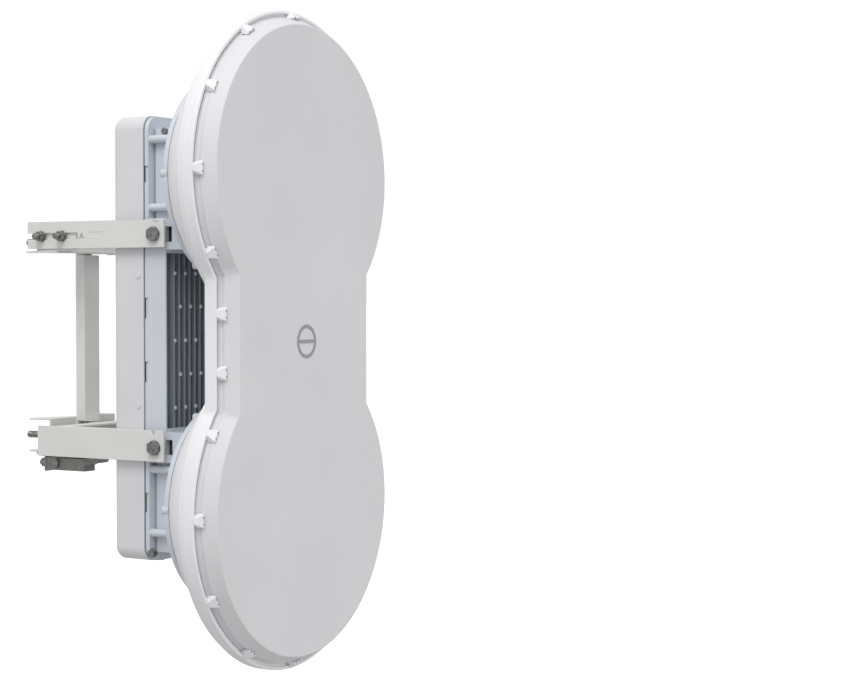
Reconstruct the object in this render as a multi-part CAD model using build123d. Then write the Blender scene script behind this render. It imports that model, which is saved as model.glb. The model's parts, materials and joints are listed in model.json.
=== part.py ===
from build123d import *
import os
from math import cos, pi, radians, sin

# Twin-dish outdoor radio on an adjustable pole bracket, in millimetres.
# X is across, Z is up and the dishes look towards -Y. While drawing, Y is the depth behind
# the radome's flat face; save() then moves the origin to the middle of the pole clamp's studs.

# radome and rim: two circles joined by a straight-sided waist
axis_height = 235.0        # height of each dish's axis above and below the middle
face_radius = 212.0
face_waist = 160.0         # half width of the flat face between the circles
lip_offset = 22.2          # how far the rim's lip stands outside the face's outline
skin = 2.5
lip_front = 26.0
lip_back = 44.0
groove_floor = 30.0        # depth of the groove inside the lip
skirt_flange = 27.0        # front of the flange at the foot of the radome's skirt
clip_count = 9             # clips round each dish; the waist has two more on each side
clip_pitch = 30.0          # degrees
clip_width = 20.0          # at the skirt; clips narrow towards the lip
clip_end = 8.0

# dishes
bowl_back = 130.4
ring_radius = 150.0
ring_front = 131.4
ring_back = 138.6

# radio housing
half_body = 82.0
panel_front = 187.5
body_back = 224.8
cover_front = 226.5
cover_back = 283.5
cover_half = 83.6
body_top = 323.0
body_foot = -318.0
body_corner = 20.0
shoulder = 176.0           # half height of the full-width middle
flange_front = 218.0
neck_half = 70.0
wall = 3.0
fin_height = 126.0         # half height of the heatsink
fin_count = 11
fin_pitch = 12.2
pivot_depth = 198.0
pivot_height = 153.0

# bracket
plate = 3.0
arm_out = 95.0             # outer face of the arms
arm_in = arm_out - plate
upper_arm_height = 154.0
lower_arm_height = -150.7
yoke_half = 22.5           # half the height of the lower yoke
pivot_r = 6.0
running = 0.05             # radial clearance of a shaft that turns in its hole
azimuth_depth = 397.0      # depth of the vertical swivel axis
column_half = 17.0
column_front = 391.6
web_front = 409.0
web_back = web_front + plate
channel_half = 75.0
channel_tip = 451.5
channels = {1: (129.0, 175.0), -1: (-170.0, -119.0)}   # heights of the upper and lower one
stud_x = 58.0
stud_z = 145.0
stud_r = 5.0
stud_end = 466.0
lock_depths = (368.0, 407.3)
lock_height = 152.4
lock_r = 4.0
screw_x = -60.0            # the azimuth screw lies along Y, beside the pole
screw_height = -186.0
screw_r = 4.0
clevis_half = 12.0
clevis_low = -196.0
clevis_back = 420.5
clevis_hang = channels[-1][0]
port_half = 40.0
port_depths = (236.0, 268.0)
cable_x = (-18.0, 18.0)
cable_depth = 252.0
cable_r = 3.2
board_front = 229.0
board_back = board_front + 1.6

both = (-1, 1)


def block(x0, x1, y0, y1, z0, z1):
    return Pos((x0 + x1) / 2, (y0 + y1) / 2, (z0 + z1) / 2) * Box(x1 - x0, y1 - y0, z1 - z0)


def rod_x(x0, x1, y, z, r):
    return Pos((x0 + x1) / 2, y, z) * Rot(0, 90, 0) * Cylinder(r, abs(x1 - x0))


def rod_y(x, y0, y1, z, r):
    return Pos(x, (y0 + y1) / 2, z) * Rot(90, 0, 0) * Cylinder(r, y1 - y0)


def rod_z(x, y, z0, z1, r):
    return Pos(x, y, (z0 + z1) / 2) * Cylinder(r, z1 - z0)


def hex_x(x0, x1, y, z, across):
    nut = extrude(RegularPolygon(across / 2, 6, major_radius=False), abs(x1 - x0))
    return Pos(min(x0, x1), y, z) * Rot(0, 90, 0) * nut


def hex_y(x, y0, y1, z, across):
    nut = extrude(RegularPolygon(across / 2, 6, major_radius=False), y1 - y0)
    return Pos(x, y1, z) * Rot(90, 0, 0) * nut


def hex_z(x, y, z0, z1, across):
    return Pos(x, y, z0) * extrude(RegularPolygon(across / 2, 6, major_radius=False), z1 - z0)


def slab(half_x, z0, z1, y0, y1, corner):
    """A plate in the XZ plane with rounded corners, from depth y0 to y1."""
    face = RectangleRounded(2 * half_x, z1 - z0, corner)
    return Pos(0, y1, (z0 + z1) / 2) * Rot(90, 0, 0) * extrude(face, y1 - y0)


def side_plate(x0, x1, outline):
    """A plate in the YZ plane with the outline's (depth, height) points."""
    face = make_face(Polyline(*outline, close=True))
    return Pos(x0, 0, 0) * Rot(0, 0, 90) * Rot(90, 0, 0) * extrude(face, x1 - x0)


def turned(profile, z=0.0):
    """Revolve (radius, depth) points about the line along Y at height z."""
    return Pos(0, 0, z) * revolve(make_face(Polyline(*profile, close=True)), Axis.Y)


def rounded_front(radius, steps=3):
    """(offset, depth) points of the face's rounded edge, outside the flat."""
    turns = [radians(90 * step / steps) for step in range(steps + 1)]
    return [(radius * sin(turn), radius * (1 - cos(turn))) for turn in turns]


def double_disc(profile):
    """Both circles and the waist, solid, with the edge's (offset from the face, depth) points."""
    first, last = profile[0][1], profile[-1][1]
    disc_points = [(0, first)] + [(face_radius + off, depth) for off, depth in profile] + [(0, last)]
    disc = turned(disc_points)
    right = [(face_waist + off, depth) for off, depth in profile]
    left = [(-x, depth) for x, depth in reversed(right)]
    waist = extrude(make_face(Polyline(*right, *left, close=True)), 2 * axis_height)
    return Pos(0, 0, axis_height) * disc + Pos(0, 0, -axis_height) * disc + Pos(0, 0, -axis_height) * waist


def save(name, shape):
    moved = Pos(0, -web_back, 0) * shape
    export_step(Compound(children=moved.solids()), f"parts/{name}.step")


def group(pieces):
    return Compound(children=[solid for piece in pieces for solid in piece.solids()])


def radome():
    bead = [(9.0, 17.0), (10.4, 18.2), (10.4, 20.8), (9.4, 22.0)]
    foot = skirt_flange + skin
    outer = rounded_front(2.0) + bead + [(11.0, skirt_flange), (13.0, skirt_flange), (13.0, foot)]
    inner = [(-2.0, skin), (0.9, 5.0), (6.5, 17.0), (8.0, foot)]
    return double_disc(outer) - double_disc(inner)


def emblem():
    """A plain generic mark: a shallow ring with a bar across it."""
    ring = rod_y(0, -0.5, 0, 0, 24.0) - rod_y(0, -0.5, 0, 0, 19.0)
    return ring + block(-21, 21, -0.5, 0, -2.5, 2.5)


def front_rim():
    outer = [(lip_offset - 1.5, lip_front), (lip_offset, lip_front + 1.5), (lip_offset, lip_back)]
    hollow = [(lip_offset - 5.0, lip_front), (lip_offset - 5.0, groove_floor)]
    inside = [(4.0, groove_floor), (4.0, lip_back)]
    rim = double_disc(outer) - double_disc(hollow) - double_disc(inside)
    floor = double_disc([(4.0, 41.0), (4.0, lip_back)])
    for side in both:
        floor -= rod_y(0, 40.0, 45.0, side * axis_height, 206.0)
    return rim + floor


def clip_places():
    """(x, z, angle) of each clip's foot on the face's outline, the angle pointing outwards."""
    places = []
    for side in both:
        for step in range(clip_count):
            angle = side * (-30 + clip_pitch * step)
            x = face_radius * cos(radians(angle))
            z = side * axis_height + face_radius * sin(radians(angle))
            places.append((x, z, angle))
        for height in both:
            places.append((side * face_waist, height * 40.0, 0 if side > 0 else 180))
    return places


def at_clip(place, piece):
    x, z, angle = place
    return Pos(x, 0, z) * Rot(0, -angle, 0) * piece


def clip_tabs():
    """Wedges that bridge the groove, each wide at the radome's skirt and narrow at the lip."""
    side_view = [(10.7, 15.0), (13.2, 15.0), (20.5, 24.5), (20.5, 26.0), (16.8, 26.0), (16.8, groove_floor),
                 (13.3, groove_floor), (13.3, skirt_flange - 0.1), (11.3, skirt_flange - 0.1), (10.7, 22.0)]
    wedge = Pos(0, 0, -clip_width / 2) * extrude(make_face(Polyline(*side_view, close=True)), clip_width)
    plan = [(10.7, -clip_width / 2), (20.5, -clip_end / 2), (20.5, clip_end / 2), (10.7, clip_width / 2)]
    taper = Pos(0, groove_floor, 0) * Rot(90, 0, 0) * extrude(make_face(Polyline(*plan, close=True)), 20.0)
    wedge = wedge & taper
    return group([at_clip(place, wedge) for place in clip_places()])


def clip_screws():
    pair = [rod_y(12.0, 14.4, 15.0, side * 4.5, 1.1) for side in both]
    return group([at_clip(place, screw) for place in clip_places() for screw in pair])


def bowl(side):
    outer = [(206.0, 44.0), (229.0, 44.0), (228.0, 54.0), (222.0, 58.0), (201.0, 64.0), (193.0, 84.0),
             (176.0, 106.0), (149.5, bowl_back)]
    inner = [(60.0, bowl_back), (60.0, bowl_back - skin), (147.0, bowl_back - skin), (173.5, 103.5),
             (190.5, 82.5), (198.5, 61.5), (220.5, 55.5), (225.5, 52.0), (226.0, 46.5), (206.0, 46.5)]
    return turned(outer + inner, side * axis_height)


def reflector(side):
    """A parabolic dish of 2 mm sheet inside the bowl, with a hole for the feed."""
    vertex, rim_r, focal = 122.0, 190.0, 150.0
    radii = [14.0 + (rim_r - 14.0) * step / 8 for step in range(9)]
    front = [(r, vertex - r * r / (4 * focal)) for r in radii]
    back = [(r, depth + 2.0) for r, depth in reversed(front)]
    return turned(front + back, side * axis_height)


def feed(side):
    z = side * axis_height
    tube = rod_y(0, 52.0, 136.0, z, 12.0) - rod_y(0, 52.0, 136.0, z, 9.5)
    flange = rod_y(0, 132.4, 136.0, z, 30.0) - rod_y(0, 132.4, 136.0, z, 11.0)
    return tube + flange


def subreflector(side):
    return turned([(0, 40.0), (31.0, 40.0), (31.0, 42.0), (12.0, 48.0), (12.0, 52.0), (0, 52.0)],
                  side * axis_height)


def ring_gasket(side):
    z = side * axis_height
    return rod_y(0, bowl_back, ring_front, z, 148.0) - rod_y(0, bowl_back, ring_front, z, 138.0)


def backing_ring(side):
    z = side * axis_height
    ring = rod_y(0, ring_front, ring_back, z, ring_radius)
    for angle in range(0, 360, 60):
        x = 146.0 * cos(radians(angle))
        ear_z = z + 146.0 * sin(radians(angle))
        ring += rod_y(x, ring_front, ring_back + 4.0, ear_z, 6.0)
    return ring - rod_y(0, ring_front, ring_back, z, 31.0)


def ring_screws():
    screws = []
    for side in both:
        for angle in range(0, 360, 60):
            x = 146.0 * cos(radians(angle))
            z = side * axis_height + 146.0 * sin(radians(angle))
            screws.append(rod_y(x, ring_back + 4.0, ring_back + 6.5, z, 3.5))
    return group(screws)


def post_heights():
    return (290.0, 192.0, -186.0, -278.0)


def notch_heights():
    """Where the housing's side walls have shallow recesses beside the seam."""
    return ((228.0, 252.0), (32.0, 62.0), (-60.0, -30.0), (-248.0, -220.0))


def tray():
    """The housing's rear half: a full-size flange and a deeper, shorter middle, both hollow."""
    inside = half_body - wall
    shell = slab(half_body, body_foot, body_top, flange_front, body_back, body_corner)
    shell += slab(half_body, -shoulder, shoulder, panel_front, body_back, wall)
    shell -= slab(inside, body_foot + wall, body_top - wall, flange_front + wall, body_back, body_corner - wall)
    shell -= block(-inside, inside, panel_front + wall, flange_front + wall, wall - shoulder, shoulder - wall)
    return shell - block(-inside, inside, panel_front, body_back, -fin_height, fin_height)


def neck(side):
    """The hollow column that carries one backing ring."""
    low, high = sorted((side * 132.0, side * 306.0))
    column = block(-neck_half, neck_half, ring_back, flange_front, low, high)
    column = fillet(column.edges().filter_by(Axis.Z), 6.0)
    inside = neck_half - wall
    column -= block(-inside, inside, ring_back + wall, flange_front, low + wall, high - wall)
    column += rod_y(0, ring_back, ring_back + wall, side * axis_height, 40.0)
    return column - rod_y(0, ring_back, ring_back + wall, side * axis_height, 13.0)


def ear_window(hand, side, x0, x1, gap):
    z = side * pivot_height
    near, far = sorted((hand * x0, hand * x1))
    return block(near, far, 176.0 + gap, 188.0 - gap, z - 11 + gap, z + 11 - gap)


def chassis():
    body = tray()
    for side in both:
        body += neck(side)
        for hand in both:
            x0, x1 = sorted((hand * (neck_half - wall), hand * half_body))
            body += block(x0, x1, ring_back, panel_front + wall, side * pivot_height - 22, side * pivot_height + 22)
            body -= ear_window(hand, side, 60.0, half_body, 0)
            body += rod_x(hand * (half_body - wall), hand * (arm_in - 0.1), pivot_depth, side * pivot_height, 9.8)
            body -= rod_x(hand * (half_body - 8), hand * arm_out, pivot_depth, side * pivot_height, pivot_r)
    for hand in both:
        for height in post_heights():
            body += rod_y(hand * (half_body - 6.0), ring_back, flange_front, height, 5.8)
        x0, x1 = sorted((hand * (half_body - 2.2), hand * half_body))
        for low, high in notch_heights():
            body -= block(x0, x1, body_back - 6.3, body_back, low, high)
    return body


def ear_plugs():
    return group([ear_window(hand, side, 62.0, 74.0, 0.1) for hand in both for side in both])


def neck_bolts():
    bolts = []
    for hand in both:
        bolts.append(hex_x(hand * neck_half, hand * (neck_half + 4.5), 196.0, 301.4, 9.0))
    return group(bolts)


def fin_bosses():
    """Light caps on the front edges of the fins, in staggered rows."""
    caps = []
    for number in range(fin_count):
        x = (number - (fin_count - 1) / 2) * fin_pitch
        heights = (-97.0, 0.0, 97.0) if number % 2 == 0 else (-49.0, 49.0)
        caps += [rod_y(x, panel_front - 1.6, panel_front, height, 2.8) for height in heights]
    return group(caps)


def heatsink():
    inside = half_body - wall
    sink = block(-inside, inside, 210.0, 214.0, -fin_height, fin_height)
    for number in range(fin_count):
        x = (number - (fin_count - 1) / 2) * fin_pitch
        sink += block(x - 1.3, x + 1.3, panel_front, 210.0, -fin_height, fin_height)
    return sink


def transceiver(side):
    z = side * axis_height
    box = block(-50, 50, ring_back + wall, 184.0, z - 50, z + 50)
    return box - rod_y(0, ring_back, 160.0, z, 9.5)


def main_board():
    return block(-70, 70, board_front, board_back, -300.0, 300.0)


def rf_shields():
    cans = [block(-55, 55, board_back, board_back + 10, side * 60.0 - 40, side * 60.0 + 40) for side in both]
    cans += [block(-45, 45, board_back, board_back + 8, side * 215.0 - 45, side * 215.0 + 45) for side in both]
    return group(cans)


def gps_antenna():
    return block(-12.5, 12.5, board_back, board_back + 6, 268.0, 293.0)


def ethernet_jacks():
    return group([block(x - 8, x + 8, 247.0, 262.0, -300.0, -279.0) for x in cable_x])


def jack_board():
    return block(-38, 38, 262.0, 263.6, -302.0, -262.0)


def cover_gasket():
    ring = slab(half_body - 1, body_foot + 1, body_top - 1, body_back, cover_front, body_corner - 1)
    return ring - slab(half_body - 5, body_foot + 5, body_top - 5, body_back, cover_front, body_corner - 5)


def rear_cover():
    """A deep lid whose front band stands out a little from the rest."""
    half, low, high = cover_half, body_foot - 2.0, body_top + 2.0
    shell = slab(half - 0.5, low, high - 0.5, cover_front, cover_back, body_corner)
    shell = fillet(shell.faces().sort_by(Axis.Y)[-1].edges(), 11.0)
    shell += slab(half, low, high, cover_front, 242.0, body_corner)
    inside = slab(half - wall, low + wall, high - wall, cover_front, cover_back - wall, body_corner - wall)
    shell -= fillet(inside.faces().sort_by(Axis.Y)[-1].edges(), 8.5)
    return shell - block(-port_half, port_half, *port_depths, low, low + wall)


def cover_screws():
    screws = [rod_x(hand * cover_half, hand * (cover_half + 1.5), 236.0, height, 4.0)
              for hand in both for height in (-94.0, 94.0)]
    return group(screws)


def port_cover():
    foot = body_foot - 2.0
    lid = extrude(RectangleRounded(2 * port_half + 12, port_depths[1] - port_depths[0] + 10, 5.0), wall)
    lid = Pos(0, cable_depth, foot - wall) * lid
    skirt = block(0.4 - port_half, port_half - 0.4, port_depths[0] + 0.4, port_depths[1] - 0.4, foot, foot + 8)
    skirt -= block(2.4 - port_half, port_half - 2.4, port_depths[0] + 2.4, port_depths[1] - 2.4, foot, foot + 8)
    cover = lid + skirt
    for x in cable_x:
        cover -= rod_z(x, cable_depth, foot - wall, foot + 8, 8.0)
    return cover


def cable_grommets():
    foot = body_foot - 2.0
    grommets = []
    for x in cable_x:
        sleeve = rod_z(x, cable_depth, foot - wall, foot, 8.0)
        sleeve += rod_z(x, cable_depth, foot - wall - 3, foot - wall, 10.0)
        sleeve += rod_z(x, cable_depth, foot, foot + 2, 10.0)
        grommets.append(sleeve - rod_z(x, cable_depth, foot - wall - 3, foot + 2, cable_r))
    return group(grommets)


def vent_plug():
    foot = body_foot - 2.0
    return rod_z(60, cable_depth, foot - 5, foot, 7.0)


def ground_screw():
    head = hex_x(-half_body - 8.0, -half_body - 3.0, 210.0, -306.0, 10.0)
    return head + rod_x(-half_body - 3.0, -half_body, 210.0, -306.0, 7.0)


def pivot_bolt(hand, height):
    """A bolt screwed into the chassis, with its washer just clear of the arm's outer face."""
    z = height * pivot_height
    bolt = rod_x(hand * (half_body - 8), hand * (arm_out + 1.1), pivot_depth, z, pivot_r)
    return bolt + hex_x(hand * (arm_out + 1.1), hand * (arm_out + 6.8), pivot_depth, z, 19.0)


def pivot_bolts(height):
    return group([pivot_bolt(hand, height) for hand in both])


def pivot_washers():
    washers = []
    for hand in both:
        for height in both:
            z = height * pivot_height
            washer = rod_x(hand * (arm_out + 0.1), hand * (arm_out + 1.1), pivot_depth, z, 10.6)
            washers.append(washer - rod_x(hand * arm_in, hand * (arm_out + 3), pivot_depth, z, pivot_r))
    return group(washers)


def upper_arm(hand):
    x0, x1 = sorted((hand * arm_in, hand * arm_out))
    low, high = upper_arm_height - 20.0, upper_arm_height + 20.0
    arm = block(x0, x1, 180.5, 435.0, low, high)
    arm -= block(x0, x1, 339.0, 435.0, lock_height - 4.8, lock_height + 4.8)
    arm -= rod_x(x0, x1, pivot_depth - 3, high + 3.0, 8.0)
    arm -= side_plate(x0, x1, [(325.5, 148.5), (337.0, 148.5), (331.2, 157.5)])
    near, far = sorted((hand * (arm_out - 0.6), hand * arm_out))
    arm -= block(near, far, 292.0, 318.0, 151.3, 157.7)
    hole = block(x0, x1, pivot_depth - 6.4, pivot_depth + 6.4, pivot_height - 1.4, pivot_height + 1.4)
    hole += rod_x(x0, x1, pivot_depth, pivot_height - 1.4, 6.4)
    hole += rod_x(x0, x1, pivot_depth, pivot_height + 1.4, 6.4)
    return arm - hole


def swivel_tab(z0, z1):
    tab = block(-8.5, 8.5, 383.0, azimuth_depth, z0, z1) + rod_z(0, azimuth_depth, z0, z1, 8.5)
    return tab - rod_z(0, azimuth_depth, z0, z1, lock_r)


def upper_cradle():
    cheek_out = arm_in - 0.1
    low, high = 131.0, 173.5
    cradle = block(-cheek_out, cheek_out, 383.0, 386.0, low, high)
    for hand in both:
        x0, x1 = sorted((hand * cheek_out, hand * (cheek_out - plate)))
        cradle += block(x0, x1, 345.0, 420.0, low, high)
        x0, x1 = sorted((hand * (cheek_out - plate), hand * (arm_out + 2)))
        cradle += block(x0, x1, 377.0, 436.0, low - plate, low)
        for depth in lock_depths:
            cradle -= rod_x(x0, x1, depth, lock_height, lock_r)
    cradle += block(-cheek_out, cheek_out, 377.0, 386.0, low - plate, low)
    return cradle + swivel_tab(low - plate, low)


def lower_yoke():
    low, high = lower_arm_height - yoke_half, lower_arm_height + yoke_half
    yoke = block(-arm_in, arm_in, 383.0, 386.0, low, high)
    for hand in both:
        x0, x1 = sorted((hand * arm_in, hand * arm_out))
        arm = block(x0, x1, 182.0, 417.5, low, high)
        arm -= side_plate(x0, x1, [(196.0, high + 1), (207.0, high + 1), (200.5, high - 8)])
        x2, x3 = sorted((hand * (arm_in - 6.5), hand * arm_in))
        arm += block(x2, x3, 225.0, 386.0, low, low + plate)
        arm += block(x2, x3, 225.0, 386.0, high - plate, high)
        yoke += arm - rod_x(x0, x1, pivot_depth, -pivot_height, pivot_r + running)
    yoke += block(-arm_in, arm_in, 360.0, 386.0, low, low + plate)
    yoke += block(-arm_in, arm_in, 360.0, 386.0, high - plate, high)
    return yoke + swivel_tab(high - plate, high)


def lock_bolts():
    bolts = []
    for hand in both:
        for depth in lock_depths:
            inner = arm_in - 0.1 - plate
            shank = rod_x(hand * inner, hand * 113.0, depth, lock_height, lock_r)
            bolts.append(shank + hex_x(hand * (inner - 5), hand * inner, depth, lock_height, 13.0))
    return group(bolts)


def lock_washers():
    washers = []
    for hand in both:
        for depth in lock_depths:
            washer = rod_x(hand * (arm_out + 0.1), hand * (arm_out + 1.7), depth, lock_height, 8.0)
            spring = rod_x(hand * (arm_out + 1.7), hand * (arm_out + 3.9), depth, lock_height, 6.6)
            hole = rod_x(hand * arm_out, hand * (arm_out + 5), depth, lock_height, lock_r)
            washers.append(washer + spring - hole)
    return group(washers)


def lock_nuts():
    nuts = []
    for hand in both:
        for depth in lock_depths:
            nut = hex_x(hand * (arm_out + 3.9), hand * (arm_out + 10.4), depth, lock_height, 13.0)
            nuts.append(nut - rod_x(hand * arm_out, hand * 113.0, depth, lock_height, lock_r))
    return group(nuts)


def swivel_bolts():
    """The upper and lower bolts of the vertical swivel, each through a tab into the column."""
    upper = rod_z(0, azimuth_depth, 120.0, 131.0, lock_r) + hex_z(0, azimuth_depth, 131.0, 136.3, 13.0)
    low = lower_arm_height + yoke_half - plate
    lower = rod_z(0, azimuth_depth, low, -120.0, lock_r) + hex_z(0, azimuth_depth, low - 5.3, low, 13.0)
    return group([upper, lower])


def azimuth_lever():
    top = lower_arm_height - yoke_half
    lever = block(screw_x - 8, screw_x + 8, 362.0, azimuth_depth + 8, top - 3.3, top)
    slot = block(screw_x - 1.2, screw_x + 1.2, azimuth_depth - 3.4, azimuth_depth + 3.4, top - 4, top)
    slot += rod_z(screw_x - 1.2, azimuth_depth, top - 4, top, 3.4)
    slot += rod_z(screw_x + 1.2, azimuth_depth, top - 4, top, 3.4)
    return lever - slot


def lever_screw():
    floor = lower_arm_height - yoke_half + plate
    return hex_z(screw_x, 373.0, floor, floor + 4.0, 10.0)


def column():
    tube = slab(column_half, -126.0, 126.0, column_front, web_front, 2.0)
    bore = block(-14, 14, column_front + 3, web_front - 3, -120.0, 120.0)
    foot = block(-column_half, column_half, web_front - 3, web_front, channels[-1][0], channels[1][1])
    frame = tube - bore + foot
    return frame - rod_z(0, azimuth_depth, -127, 127, lock_r + running)


def square_neck(hand, side):
    """The neck that keeps a stud from turning in the channel's web."""
    x, z = hand * stud_x, side * stud_z
    return block(x - stud_r, x + stud_r, web_front, web_back, z - stud_r, z + stud_r)


def pole_channel(side):
    low, high = channels[side]
    channel = block(-channel_half, channel_half, web_front, web_back, low, high)
    notch = [(-channel_half, web_back), (channel_half, web_back), (channel_half, channel_tip), (56, channel_tip),
             (0, web_back + 8), (-56, channel_tip), (-channel_half, channel_tip)]
    flange = extrude(make_face(Polyline(*notch, close=True)), plate)
    channel += Pos(0, 0, low) * flange + Pos(0, 0, high - plate) * flange
    for hand in both:
        channel -= square_neck(hand, side)
    return channel


def pole_studs():
    studs = []
    for side in both:
        for hand in both:
            shank = rod_y(hand * stud_x, web_back, stud_end, side * stud_z, stud_r)
            head = rod_y(hand * stud_x, web_front - 4, web_front, side * stud_z, 10.0)
            studs.append(shank + square_neck(hand, side) + head)
    return group(studs)


def azimuth_clevis():
    """A trough under the lower pole channel, hung from a plate at its rear end."""
    left, right, top = screw_x - clevis_half, screw_x + clevis_half, -177.3
    outline = [(347, top), (clevis_back, top), (clevis_back, clevis_low), (347, clevis_low)]
    clevis = block(left, right, 347.0, clevis_back, clevis_low, clevis_low + plate)
    clevis += block(left, right, 347.0, 350.0, clevis_low + 1, top)
    clevis += side_plate(left, left + plate, outline) + side_plate(right - plate, right, outline)
    tongue = [(318, top), (347.5, top), (347.5, -188), (338, -184), (322, -182.5)]
    clevis += side_plate(left + 1.0, right - 1.0, tongue)
    clevis += block(left - 1, right + 1, clevis_back, clevis_back + plate, clevis_low - 2, clevis_hang)
    clevis += block(left, right, clevis_back, 440.0, clevis_hang - plate, clevis_hang)
    return clevis - rod_y(screw_x, 351.0, 430.0, screw_height, screw_r + running)


def clevis_bolts():
    under = hex_z(screw_x, 434.0, clevis_hang - plate - 4.0, clevis_hang - plate, 10.0)
    left = screw_x - clevis_half
    cap = fillet(rod_x(left - 5.0, left, 403.0, -184.5, 8.2).faces().sort_by(Axis.X)[0].edges(), 1.5)
    return group([under, cap])


def azimuth_screw():
    back = clevis_back + plate
    screw = rod_y(screw_x, 353.0, 441.0, screw_height, screw_r)
    flange = rod_y(screw_x, back + 0.2, back + 3.2, screw_height, 8.0)
    return screw + flange + hex_y(screw_x, back + 5.0, back + 13.0, screw_height, 13.0)


def azimuth_nut():
    side = clevis_half - plate - 0.3
    nut = block(screw_x - side, screw_x + side, azimuth_depth - 7.5, azimuth_depth + 7.5, screw_height - 6.5,
                screw_height + 6.5)
    nut += rod_z(screw_x, azimuth_depth, screw_height + 6.5, -172.0, 3.0)
    return nut - rod_y(screw_x, azimuth_depth - 9, azimuth_depth + 9, screw_height, screw_r + running)


makers = {
    "radome": radome, "emblem": emblem, "front_rim": front_rim, "clip_tabs": clip_tabs,
    "clip_screws": clip_screws, "ring_screws": ring_screws, "chassis": chassis, "ear_plugs": ear_plugs,
    "neck_bolts": neck_bolts, "heatsink": heatsink, "fin_bosses": fin_bosses,
    "main_board": main_board, "rf_shields": rf_shields, "gps_antenna": gps_antenna,
    "ethernet_jacks": ethernet_jacks, "jack_board": jack_board, "cover_gasket": cover_gasket,
    "rear_cover": rear_cover, "cover_screws": cover_screws, "port_cover": port_cover,
    "cable_grommets": cable_grommets, "vent_plug": vent_plug, "ground_screw": ground_screw,
    "pivot_washers": pivot_washers, "upper_cradle": upper_cradle, "lower_yoke": lower_yoke,
    "lock_bolts": lock_bolts, "lock_washers": lock_washers, "lock_nuts": lock_nuts,
    "swivel_bolts": swivel_bolts, "azimuth_lever": azimuth_lever, "lever_screw": lever_screw,
    "column": column, "pole_studs": pole_studs, "azimuth_clevis": azimuth_clevis,
    "clevis_bolts": clevis_bolts, "azimuth_screw": azimuth_screw, "azimuth_nut": azimuth_nut,
}
paired = {
    "bowl": bowl, "reflector": reflector, "feed": feed, "subreflector": subreflector,
    "ring_gasket": ring_gasket, "backing_ring": backing_ring, "transceiver": transceiver,
    "pivot_bolts": pivot_bolts, "pole_channel": pole_channel,
}

os.makedirs("parts", exist_ok=True)
for name, make in makers.items():
    save(name, make())
for name, make in paired.items():
    save(f"upper_{name}", make(1))
    save(f"lower_{name}", make(-1))
save("left_upper_arm", upper_arm(-1))
save("right_upper_arm", upper_arm(1))
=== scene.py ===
import bpy
import bmesh
import json
from math import atan, cos, pi, radians, sin
from mathutils import Euler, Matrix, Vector


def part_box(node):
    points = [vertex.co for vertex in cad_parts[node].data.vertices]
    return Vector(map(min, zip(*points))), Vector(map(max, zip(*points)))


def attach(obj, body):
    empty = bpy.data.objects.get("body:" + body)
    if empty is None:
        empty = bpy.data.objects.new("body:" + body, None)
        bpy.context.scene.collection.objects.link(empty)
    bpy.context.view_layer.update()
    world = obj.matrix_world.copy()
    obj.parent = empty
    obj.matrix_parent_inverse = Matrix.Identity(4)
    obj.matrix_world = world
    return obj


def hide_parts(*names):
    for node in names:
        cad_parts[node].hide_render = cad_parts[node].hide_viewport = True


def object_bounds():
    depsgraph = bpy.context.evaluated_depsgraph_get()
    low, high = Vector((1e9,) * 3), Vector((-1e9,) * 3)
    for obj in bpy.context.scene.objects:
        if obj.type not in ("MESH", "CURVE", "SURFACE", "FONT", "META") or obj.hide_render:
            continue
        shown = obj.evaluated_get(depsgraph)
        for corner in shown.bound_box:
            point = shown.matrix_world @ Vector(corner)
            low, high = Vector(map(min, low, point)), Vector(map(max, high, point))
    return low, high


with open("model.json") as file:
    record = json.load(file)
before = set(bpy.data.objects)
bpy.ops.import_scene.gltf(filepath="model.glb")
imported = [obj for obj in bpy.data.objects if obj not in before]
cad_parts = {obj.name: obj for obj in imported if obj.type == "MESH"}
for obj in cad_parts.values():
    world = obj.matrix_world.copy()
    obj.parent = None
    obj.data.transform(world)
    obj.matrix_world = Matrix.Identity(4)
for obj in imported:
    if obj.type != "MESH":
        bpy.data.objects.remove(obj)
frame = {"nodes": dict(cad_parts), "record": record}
cad_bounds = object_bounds()
nodes = frame["nodes"]
bodies = frame["record"]["behaviour"]["bodies"]
slots = {part["node"]: part["material_slot"] for part in frame["record"]["subparts"]}

# camera: a long lens, a little above the middle, looking at the radio from the front left
image_width = 850
sensor = 36.0
focal_pixels = 1986.0
camera_distance = 2.9282
camera_side = radians(53.4)
camera_rise = radians(1.4)
object_left = 217               # how far the object stands left of the picture's middle
target_depth = 0.1733           # behind the radome's face
target_height = -0.0006

face_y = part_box("radome")[0].y

# screw threads that show, in metres
thread_rows = 6                 # rings of points in one pitch
thread_columns = 24
stud_x = 0.058
stud_z = 0.145
stud_start = 0.001
stud_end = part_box("pole_studs")[1].y - 0.0006
stud_root = 0.0048
stud_crest = 0.0053
stud_pitch = 0.0015
lock_y = (face_y + 0.368, face_y + 0.4073)
lock_z = 0.1524
lock_start = 0.1052             # just inside the nut's outer face
lock_end = 0.1126
lock_root = 0.0038
lock_crest = 0.0043
lock_pitch = 0.00125

# light: the sky's strength on the radio and as the camera sees it, and two square lamps
sky_level = 0.74
sky_seen = 1.05
key_watts = 60.0
front_watts = 5.0
key_place = (-2.2, -1.1, 2.9)
key_size = 1.8
front_place = (0.6, -2.1, -0.42)
front_size = 0.7
lamps_aim = (0, -0.2, 0)
floor_glow = 0.85               # keeps the floor as pale as the sky behind it
floor_radius = 120.0
floor_gap = 0.15                # from the floor up to the radio's lowest point

# finish of the copies of the CAD shapes
sharp_angle = radians(38)
flat_angle = radians(0.6)
weld_distance = 0.00001
bevel_segments = 2


def body_of(node):
    return next(body for body, members in bodies.items() if node in members)


# --- materials -----------------------------------------------------------------------------

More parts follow.
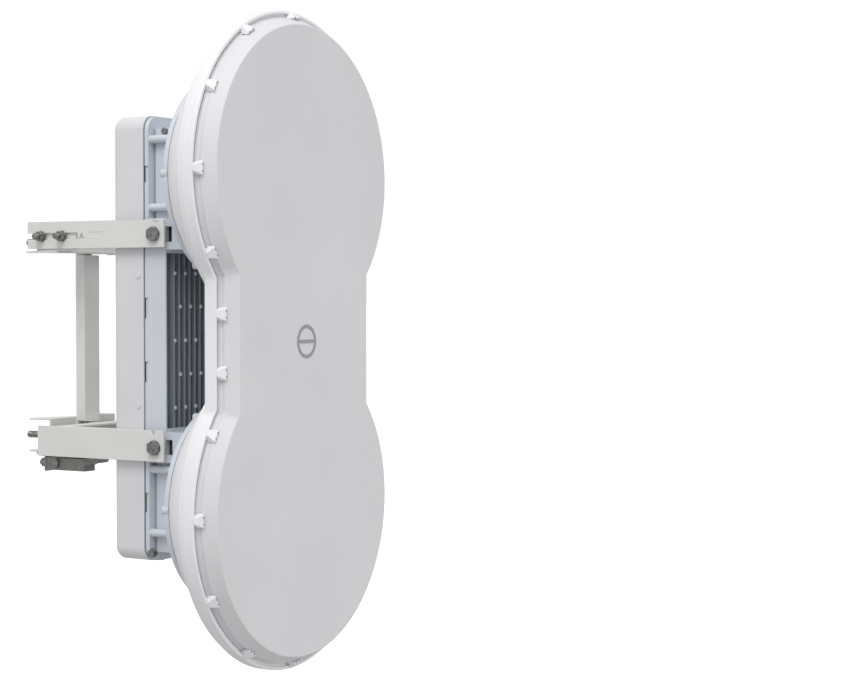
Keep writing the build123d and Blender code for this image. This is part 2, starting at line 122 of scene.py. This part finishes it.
def new_material(name):
    material = bpy.data.materials.new(name)
    material.use_nodes = True
    tree = material.node_tree
    return material, tree, tree.nodes["Principled BSDF"]


def noise(tree, scale, detail=3.0, roughness=0.5, stretch=(1, 1, 1)):
    coords = tree.nodes.new("ShaderNodeTexCoord")
    mapping = tree.nodes.new("ShaderNodeMapping")
    mapping.inputs["Scale"].default_value = stretch
    texture = tree.nodes.new("ShaderNodeTexNoise")
    texture.inputs["Scale"].default_value = scale
    texture.inputs["Detail"].default_value = detail
    texture.inputs["Roughness"].default_value = roughness
    tree.links.new(coords.outputs["Object"], mapping.inputs["Vector"])
    tree.links.new(mapping.outputs["Vector"], texture.inputs["Vector"])
    return texture.outputs["Fac"]


def ramp(tree, source, stops):
    node = tree.nodes.new("ShaderNodeValToRGB")
    while len(node.color_ramp.elements) < len(stops):
        node.color_ramp.elements.new(0.5)
    for element, (place, colour) in zip(node.color_ramp.elements, stops):
        element.position = place
        element.color = (*colour, 1)
    tree.links.new(source, node.inputs["Fac"])
    return node.outputs["Color"]


def spread(tree, source, low, high):
    node = tree.nodes.new("ShaderNodeMapRange")
    node.inputs["From Min"].default_value = 0.3
    node.inputs["From Max"].default_value = 0.7
    node.inputs["To Min"].default_value = low
    node.inputs["To Max"].default_value = high
    tree.links.new(source, node.inputs["Value"])
    return node.outputs["Result"]


def bump(tree, shader, layers):
    """Stack (height source, distance in metres, strength) layers of relief."""
    normal = None
    for source, distance, strength in layers:
        node = tree.nodes.new("ShaderNodeBump")
        node.inputs["Distance"].default_value = distance
        node.inputs["Strength"].default_value = strength
        tree.links.new(source, node.inputs["Height"])
        if normal is not None:
            tree.links.new(normal, node.inputs["Normal"])
        normal = node.outputs["Normal"]
    tree.links.new(normal, shader.inputs["Normal"])


def shade(colour, factor):
    return tuple(min(1.0, channel * factor) for channel in colour)


def mottled(tree, shader, colour, amount, scale):
    """Slow, faint changes of tone over the surface."""
    tone = noise(tree, scale, 4.0, 0.55)
    stops = [(0.32, shade(colour, 1 - amount)), (0.5, colour), (0.68, shade(colour, 1 + amount))]
    tree.links.new(ramp(tree, tone, stops), shader.inputs["Base Color"])


def moulded(name, colour, roughness, grain=0.00003):
    """Injection-moulded weatherproof plastic: spark-eroded grain and faint flow marks."""
    material, tree, shader = new_material(name)
    mottled(tree, shader, colour, 0.018, 7.0)
    fine = noise(tree, 1400.0, 2.0)
    flow = noise(tree, 22.0, 2.0, 0.4)
    tree.links.new(spread(tree, fine, roughness - 0.05, roughness + 0.07), shader.inputs["Roughness"])
    shader.inputs["Specular IOR Level"].default_value = 0.4
    bump(tree, shader, [(flow, 0.0004, 0.12), (fine, grain, 0.5)])
    return material


def powder_coat(name, colour, roughness, peel=0.00005):
    """Powder coating: orange-peel relief over metal, a little chalky in patches."""
    material, tree, shader = new_material(name)
    mottled(tree, shader, colour, 0.022, 11.0)
    orange = noise(tree, 520.0, 2.0, 0.45)
    speck = noise(tree, 2600.0, 1.0)
    chalk = noise(tree, 35.0, 3.0)
    tree.links.new(spread(tree, chalk, roughness - 0.06, roughness + 0.08), shader.inputs["Roughness"])
    shader.inputs["Specular IOR Level"].default_value = 0.45
    bump(tree, shader, [(orange, peel, 0.6), (speck, peel / 3, 0.3)])
    return material


def plated_steel(name, colour, roughness, metallic=1.0):
    """Turned and plated steel with fine tool marks and darker handling stains."""
    material, tree, shader = new_material(name)
    stain = noise(tree, 160.0, 5.0, 0.6)
    stops = [(0.35, shade(colour, 0.62)), (0.55, colour), (0.72, shade(colour, 1.25))]
    tree.links.new(ramp(tree, stain, stops), shader.inputs["Base Color"])
    marks = noise(tree, 900.0, 2.0, 0.5, (6.0, 0.6, 0.6))
    tree.links.new(spread(tree, marks, roughness - 0.08, roughness + 0.14), shader.inputs["Roughness"])
    shader.inputs["Metallic"].default_value = metallic
    bump(tree, shader, [(marks, 0.00004, 0.4)])
    return material


def spangled_zinc(name, colour, roughness):
    """Dull cast zinc: crystal spangle and a gritty skin."""
    material, tree, shader = new_material(name)
    coords = tree.nodes.new("ShaderNodeTexCoord")
    crystals = tree.nodes.new("ShaderNodeTexVoronoi")
    crystals.inputs["Scale"].default_value = 210.0
    tree.links.new(coords.outputs["Object"], crystals.inputs["Vector"])
    stops = [(0.0, shade(colour, 0.82)), (1.0, shade(colour, 1.14))]
    tree.links.new(ramp(tree, crystals.outputs["Color"], stops), shader.inputs["Base Color"])
    grit = noise(tree, 700.0, 3.0)
    tree.links.new(spread(tree, grit, roughness - 0.1, roughness + 0.1), shader.inputs["Roughness"])
    shader.inputs["Metallic"].default_value = 0.55
    bump(tree, shader, [(grit, 0.00012, 0.5)])
    return material


def rubber(name, colour):
    material, tree, shader = new_material(name)
    mottled(tree, shader, colour, 0.12, 60.0)
    fine = noise(tree, 1800.0, 2.0)
    tree.links.new(spread(tree, fine, 0.62, 0.8), shader.inputs["Roughness"])
    bump(tree, shader, [(fine, 0.00005, 0.4)])
    return material


def solder_mask(name):
    """Green circuit board with lighter copper lines under the mask."""
    material, tree, shader = new_material(name)
    coords = tree.nodes.new("ShaderNodeTexCoord")
    tracks = tree.nodes.new("ShaderNodeTexBrick")
    tracks.inputs["Scale"].default_value = 90.0
    tracks.inputs["Mortar Size"].default_value = 0.03
    tree.links.new(coords.outputs["Object"], tracks.inputs["Vector"])
    stops = [(0.0, (0.02, 0.12, 0.06)), (1.0, (0.05, 0.25, 0.12))]
    tree.links.new(ramp(tree, tracks.outputs["Fac"], stops), shader.inputs["Base Color"])
    shader.inputs["Roughness"].default_value = 0.35
    return material


materials = {
    "radome_plastic": moulded("radome_plastic", (0.735, 0.73, 0.75), 0.62),
    "emblem_grey": moulded("emblem_grey", (0.33, 0.35, 0.38), 0.4),
    "shell_plastic": moulded("shell_plastic", (0.865, 0.862, 0.885), 0.5),
    "cast_housing": powder_coat("cast_housing", (0.64, 0.68, 0.735), 0.5),
    # painted shade: the heatsink fins are the same light painted casting as the chassis, and this
    # darker colour stands in for the shade that falls between the fins
    "heatsink_grey": powder_coat("heatsink_grey", (0.25, 0.275, 0.315), 0.42),
    "cover_paint": powder_coat("cover_paint", (0.72, 0.72, 0.745), 0.5),
    "bracket_paint": powder_coat("bracket_paint", (0.74, 0.742, 0.72), 0.48, 0.00007),
    "fastener_steel": plated_steel("fastener_steel", (0.33, 0.325, 0.32), 0.28),
    "zinc_plate": spangled_zinc("zinc_plate", (0.31, 0.30, 0.285), 0.55),
    "seal_rubber": rubber("seal_rubber", (0.03, 0.03, 0.035)),
    "bare_aluminium": plated_steel("bare_aluminium", (0.72, 0.73, 0.75), 0.35),
    "circuit_board": solder_mask("circuit_board"),
    "tinned_shield": plated_steel("tinned_shield", (0.6, 0.61, 0.62), 0.32),
}


# --- pieces worked up from the CAD's own shapes ---------------------------------------------

def clean_mesh(mesh):
    """Weld the tessellation and turn its flat triangles back into whole faces."""
    work = bmesh.new()
    work.from_mesh(mesh)
    bmesh.ops.remove_doubles(work, verts=work.verts, dist=weld_distance)
    bmesh.ops.dissolve_limit(work, angle_limit=flat_angle, verts=work.verts, edges=work.edges)
    work.to_mesh(mesh)
    work.free()
    if "custom_normal" in mesh.attributes:
        mesh.attributes.remove(mesh.attributes["custom_normal"])


def soften_edges(piece, width):
    """Round every real edge a little, as paint, casting or moulding leaves it."""
    bevel = piece.modifiers.new("edges", "BEVEL")
    bevel.width = width
    bevel.segments = bevel_segments
    bevel.limit_method = "ANGLE"
    bevel.angle_limit = sharp_angle
    bevel.use_clamp_overlap = True
    weigh = piece.modifiers.new("normals", "WEIGHTED_NORMAL")
    weigh.keep_sharp = True
    weigh.weight = 90


def refine(node, edge):
    """A finished copy of a CAD node, with softened edges and its slot's material."""
    mesh = nodes[node].data.copy()
    clean_mesh(mesh)
    mesh.shade_smooth()
    mesh.set_sharp_from_angle(angle=sharp_angle)
    piece = bpy.data.objects.new(node + "_finished", mesh)
    bpy.context.scene.collection.objects.link(piece)
    mesh.materials.clear()
    mesh.materials.append(materials[slots[node]])
    soften_edges(piece, edge)
    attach(piece, body_of(node))
    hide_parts(node)
    return piece


# width of the softened edges on each node that shows, in metres
edge_widths = {
    0.0002: ("lock_washers", "clip_screws"),
    0.0004: ("pivot_washers", "clip_tabs", "ring_screws", "neck_bolts", "cover_screws", "lock_bolts",
             "lock_nuts", "swivel_bolts", "azimuth_lever", "lever_screw", "pole_studs", "azimuth_screw",
             "ground_screw", "fin_bosses", "heatsink"),
    0.0006: ("radome", "upper_pivot_bolts", "lower_pivot_bolts", "left_upper_arm", "right_upper_arm",
             "cable_grommets", "clevis_bolts"),
    0.0008: ("port_cover", "vent_plug", "upper_cradle", "lower_yoke", "upper_pole_channel",
             "lower_pole_channel", "azimuth_clevis", "azimuth_nut", "ear_plugs"),
    0.0011: ("front_rim", "upper_bowl", "lower_bowl", "upper_backing_ring", "lower_backing_ring",
             "chassis", "rear_cover", "column"),
}


def dress_plain_nodes():
    """Give every CAD node, seen or hidden, its slot's material."""
    for name, node in nodes.items():
        node.data.materials.clear()
        node.data.materials.append(materials[slots[name]])


def grid_mesh(name, rows):
    """A closed skin over equal rings of points, each ring joined to the next."""
    count = len(rows[0])
    points = [point for row in rows for point in row]
    faces = []
    for row in range(len(rows) - 1):
        for column in range(count):
            after = (column + 1) % count
            faces.append((row * count + column, row * count + after,
                          (row + 1) * count + after, (row + 1) * count + column))
    faces.append(tuple(reversed(range(count))))
    faces.append(tuple(range((len(rows) - 1) * count, len(rows) * count)))
    mesh = bpy.data.meshes.new(name)
    mesh.from_pydata(points, [], faces)
    work = bmesh.new()
    work.from_mesh(mesh)
    bmesh.ops.recalc_face_normals(work, faces=work.faces)
    work.to_mesh(mesh)
    work.free()
    return mesh


def thread(name, node, start, end, root, crest, pitch):
    """A rolled screw thread standing on a plain shank, from one point to another."""
    start, end = Vector(start), Vector(end)
    along = (end - start).normalized()
    side = along.orthogonal().normalized()
    other = along.cross(side)
    steps = round((end - start).length / pitch * thread_rows)
    rows = []
    for step in range(steps + 1):
        centre = start.lerp(end, step / steps)
        row = []
        for column in range(thread_columns):
            turn = column / thread_columns
            rise = abs(2 * ((step / thread_rows - turn) % 1.0) - 1)
            radius = root + (crest - root) * rise
            row.append(centre + (side * cos(2 * pi * turn) + other * sin(2 * pi * turn)) * radius)
        rows.append(row)
    mesh = grid_mesh(name, rows)
    mesh.materials.append(materials[slots[node]])
    piece = bpy.data.objects.new(name, mesh)
    bpy.context.scene.collection.objects.link(piece)
    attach(piece, body_of(node))


def threads():
    """The threads of the pole studs and of the lock bolts outside their nuts."""
    for hand, hand_name in ((-1, "left"), (1, "right")):
        for side, side_name in ((-1, "lower"), (1, "upper")):
            x, z = hand * stud_x, side * stud_z
            thread(f"stud_thread_{hand_name}_{side_name}", "pole_studs", (x, stud_start, z),
                   (x, stud_end, z), stud_root, stud_crest, stud_pitch)
        for number, y in enumerate(lock_y):
            thread(f"lock_thread_{hand_name}_{number}", "lock_bolts", (hand * lock_start, y, lock_z),
                   (hand * lock_end, y, lock_z), lock_root, lock_crest, lock_pitch)


def floor():
    """A wide pale studio floor under the radio."""
    bpy.ops.mesh.primitive_circle_add(vertices=96, radius=floor_radius, fill_type="NGON")
    plane = bpy.context.object
    plane.name = "studio_floor"
    plane.location.z = cad_bounds[0][2] - floor_gap
    material, tree, shader = new_material("floor_paint")
    tone = noise(tree, 1.5, 2.0)
    stops = [(0.3, (0.5, 0.5, 0.5)), (0.7, (0.53, 0.53, 0.53))]
    tree.links.new(ramp(tree, tone, stops), shader.inputs["Base Color"])
    shader.inputs["Roughness"].default_value = 0.9
    shader.inputs["Specular IOR Level"].default_value = 0.0
    seen = tree.nodes.new("ShaderNodeLightPath")
    glow = tree.nodes.new("ShaderNodeMath")
    glow.operation = "MULTIPLY"
    glow.inputs[1].default_value = floor_glow
    tree.links.new(seen.outputs["Is Camera Ray"], glow.inputs[0])
    shader.inputs["Emission Color"].default_value = (1, 1, 1, 1)
    tree.links.new(glow.outputs[0], shader.inputs["Emission Strength"])
    plane.data.materials.append(material)


def sky():
    """Even light all round; the camera sees plain white behind the radio."""
    world = bpy.data.worlds.new("studio")
    bpy.context.scene.world = world
    world.use_nodes = True
    tree = world.node_tree
    background = tree.nodes["Background"]
    background.inputs["Color"].default_value = (1, 1, 1, 1)
    seen = tree.nodes.new("ShaderNodeLightPath")
    level = tree.nodes.new("ShaderNodeMapRange")
    level.inputs["To Min"].default_value = sky_level
    level.inputs["To Max"].default_value = sky_seen
    tree.links.new(seen.outputs["Is Camera Ray"], level.inputs["Value"])
    tree.links.new(level.outputs["Result"], background.inputs["Strength"])


def soft_light(name, place, size, watts):
    data = bpy.data.lights.new(name, "AREA")
    data.shape = "SQUARE"
    data.size = size
    data.energy = watts
    lamp = bpy.data.objects.new(name, data)
    bpy.context.scene.collection.objects.link(lamp)
    lamp.location = place
    aim = Vector(lamps_aim) - Vector(place)
    lamp.rotation_euler = aim.to_track_quat("-Z", "Y").to_euler()


def camera():
    data = bpy.data.cameras.new("camera")
    data.sensor_width = sensor
    data.lens = sensor * focal_pixels / image_width
    eye = bpy.data.objects.new("camera", data)
    bpy.context.scene.collection.objects.link(eye)
    target = Vector((0, face_y + target_depth, target_height))
    level = cos(camera_rise)
    back = Vector((-sin(camera_side) * level, -cos(camera_side) * level, sin(camera_rise)))
    eye.location = target + back * camera_distance
    turn = atan(object_left / focal_pixels)
    eye.rotation_euler = Euler((pi / 2 - camera_rise, 0, -camera_side - turn))
    bpy.context.scene.camera = eye


camera()
sky()
floor()
soft_light("key", key_place, key_size, key_watts)
soft_light("front", front_place, front_size, front_watts)
bpy.context.scene.view_settings.view_transform = "Standard"

dress_plain_nodes()
for edge, names in edge_widths.items():
    for node in names:
        refine(node, edge)

threads()
